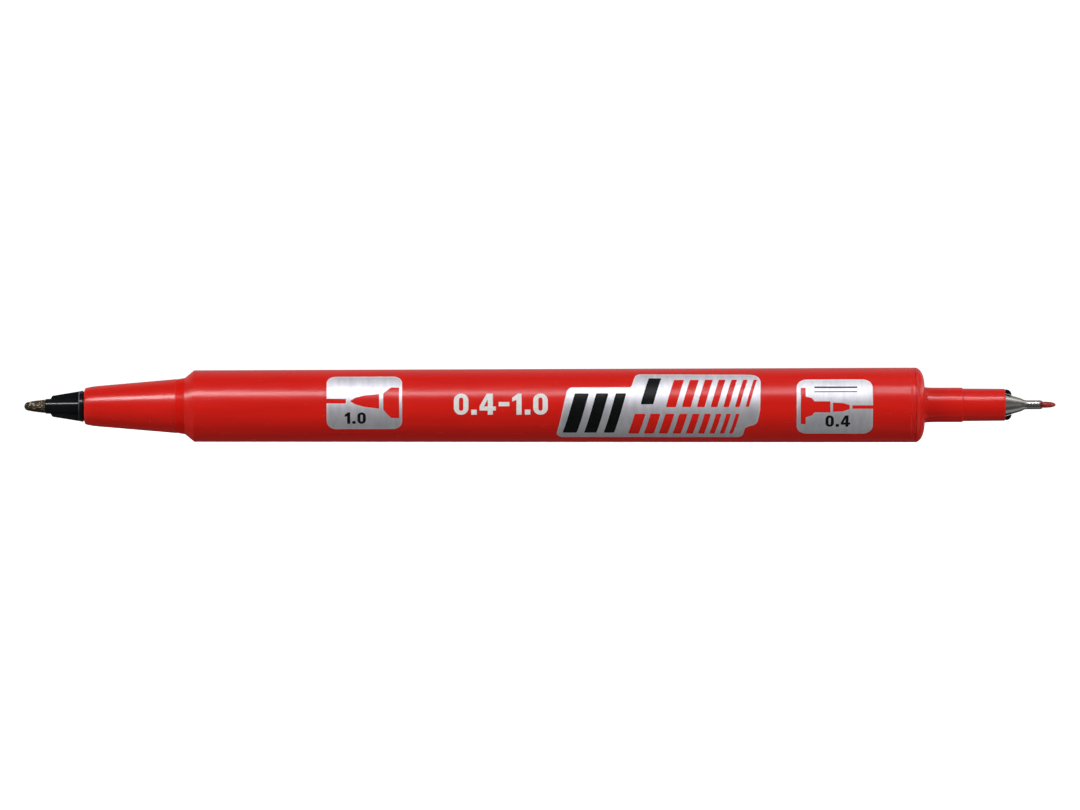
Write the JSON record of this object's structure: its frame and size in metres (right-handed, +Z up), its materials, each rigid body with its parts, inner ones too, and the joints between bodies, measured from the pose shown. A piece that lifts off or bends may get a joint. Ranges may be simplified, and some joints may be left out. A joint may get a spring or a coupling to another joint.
{
  "type": "double-ended marker",
  "caption": "Uncapped round marker pen with a bullet nib on a tapered nose at one end and a metal-sleeved needle nib on a stepped neck at the other.",
  "frame": {"origin": "middle of the overall length, on the plane the pen lies on", "axes": "+X along the pen from the bullet nib to the needle nib, +Z up from the table, -Y the side that carries the print"},
  "size_m": [0.14, 0.0102, 0.0101],
  "materials": {
    "red_plastic": "glossy moulded polypropylene",
    "black_plastic": "satin moulded plastic",
    "felt_nib": "hard felt soaked with ink",
    "needle_plastic": "extruded nib plastic wet with red ink",
    "steel": "bright drawn stainless steel",
    "inked_fibre": "fibre soaked with red ink",
    "clear_wrap": "thin clear film"
  },
  "bodies": {
    "barrel_body": {"barrel": "red_plastic", "reservoir_core": "inked_fibre", "reservoir_wrap": "clear_wrap"},
    "bullet_holder_body": {"bullet_nib_holder": "black_plastic"},
    "bullet_nib_body": {"bullet_nib": "felt_nib"},
    "tail_body": {"tail_plug": "red_plastic", "needle_holder": "black_plastic", "needle_sleeve": "steel", "relay_wick": "inked_fibre"},
    "needle_nib_body": {"needle_nib": "needle_plastic"}
  },
  "joints": [
    {"name": "bullet_holder_pull", "type": "slide", "parent": "barrel_body", "child": "bullet_holder_body", "axis": [-1, 0, 0], "range_m": [0, 0.014]},
    {"name": "bullet_nib_pull", "type": "slide", "parent": "bullet_holder_body", "child": "bullet_nib_body", "axis": [-1, 0, 0], "range_m": [0, 0.031]},
    {"name": "tail_pull", "type": "slide", "parent": "barrel_body", "child": "tail_body", "axis": [1, 0, 0], "range_m": [0, 0.015]},
    {"name": "needle_nib_pull", "type": "slide", "parent": "tail_body", "child": "needle_nib_body", "axis": [1, 0, 0], "range_m": [0, 0.016]}
  ]
}
